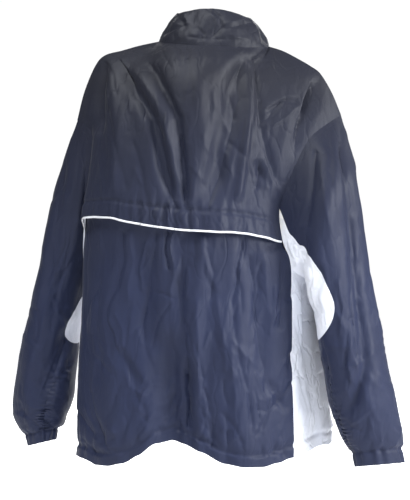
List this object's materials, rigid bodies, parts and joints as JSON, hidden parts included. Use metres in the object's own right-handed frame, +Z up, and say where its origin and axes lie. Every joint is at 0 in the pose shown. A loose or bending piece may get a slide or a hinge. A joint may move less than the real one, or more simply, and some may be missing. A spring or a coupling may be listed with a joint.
{
  "type": "windbreaker jacket",
  "caption": "Light zip-front windbreaker with a stand collar, a vented back flap edged in piping, underarm gussets and side panels, and gathered cuffs and hem.",
  "frame": {"origin": "middle of the neck opening at the height of the neck seam, where a hanger or a wearer's neck holds the jacket", "axes": "+Z up along the jacket's length, -Y out of the back, +X towards the wearer's right"},
  "size_m": [0.7271, 0.2731, 0.8353],
  "materials": {
    "shell_navy": "thin close-woven polyester with a soft satin sheen",
    "panel_white": "thin close-woven polyester, slightly translucent white",
    "piping_white": "covered cord, matte",
    "zip_tape": "woven tape, matte",
    "zip_teeth": "moulded teeth, satin",
    "zip_metal": "dark satin metal"
  },
  "bodies": {
    "jacket": {"back_yoke": "shell_navy", "yoke_piping": "piping_white", "back_lower": "shell_navy", "side_panel_left": "panel_white", "side_panel_right": "panel_white", "front_left": "shell_navy", "front_right": "shell_navy", "sleeve_left": "shell_navy", "sleeve_right": "shell_navy", "sleeve_gusset_left": "panel_white", "sleeve_gusset_right": "panel_white", "collar": "shell_navy", "zip_tape_left": "zip_tape", "zip_tape_right": "zip_tape", "zip_chain": "zip_teeth", "zip_slider": "zip_metal"},
    "pull_tab": {"zip_pull_tab": "zip_metal"}
  },
  "joints": [
    {"name": "pull_tab_hinge", "type": "hinge", "parent": "jacket", "child": "pull_tab", "pos_m": [0, 0.06874, -0.00067], "axis": [1, 0, 0], "range_deg": [0, 150]}
  ]
}
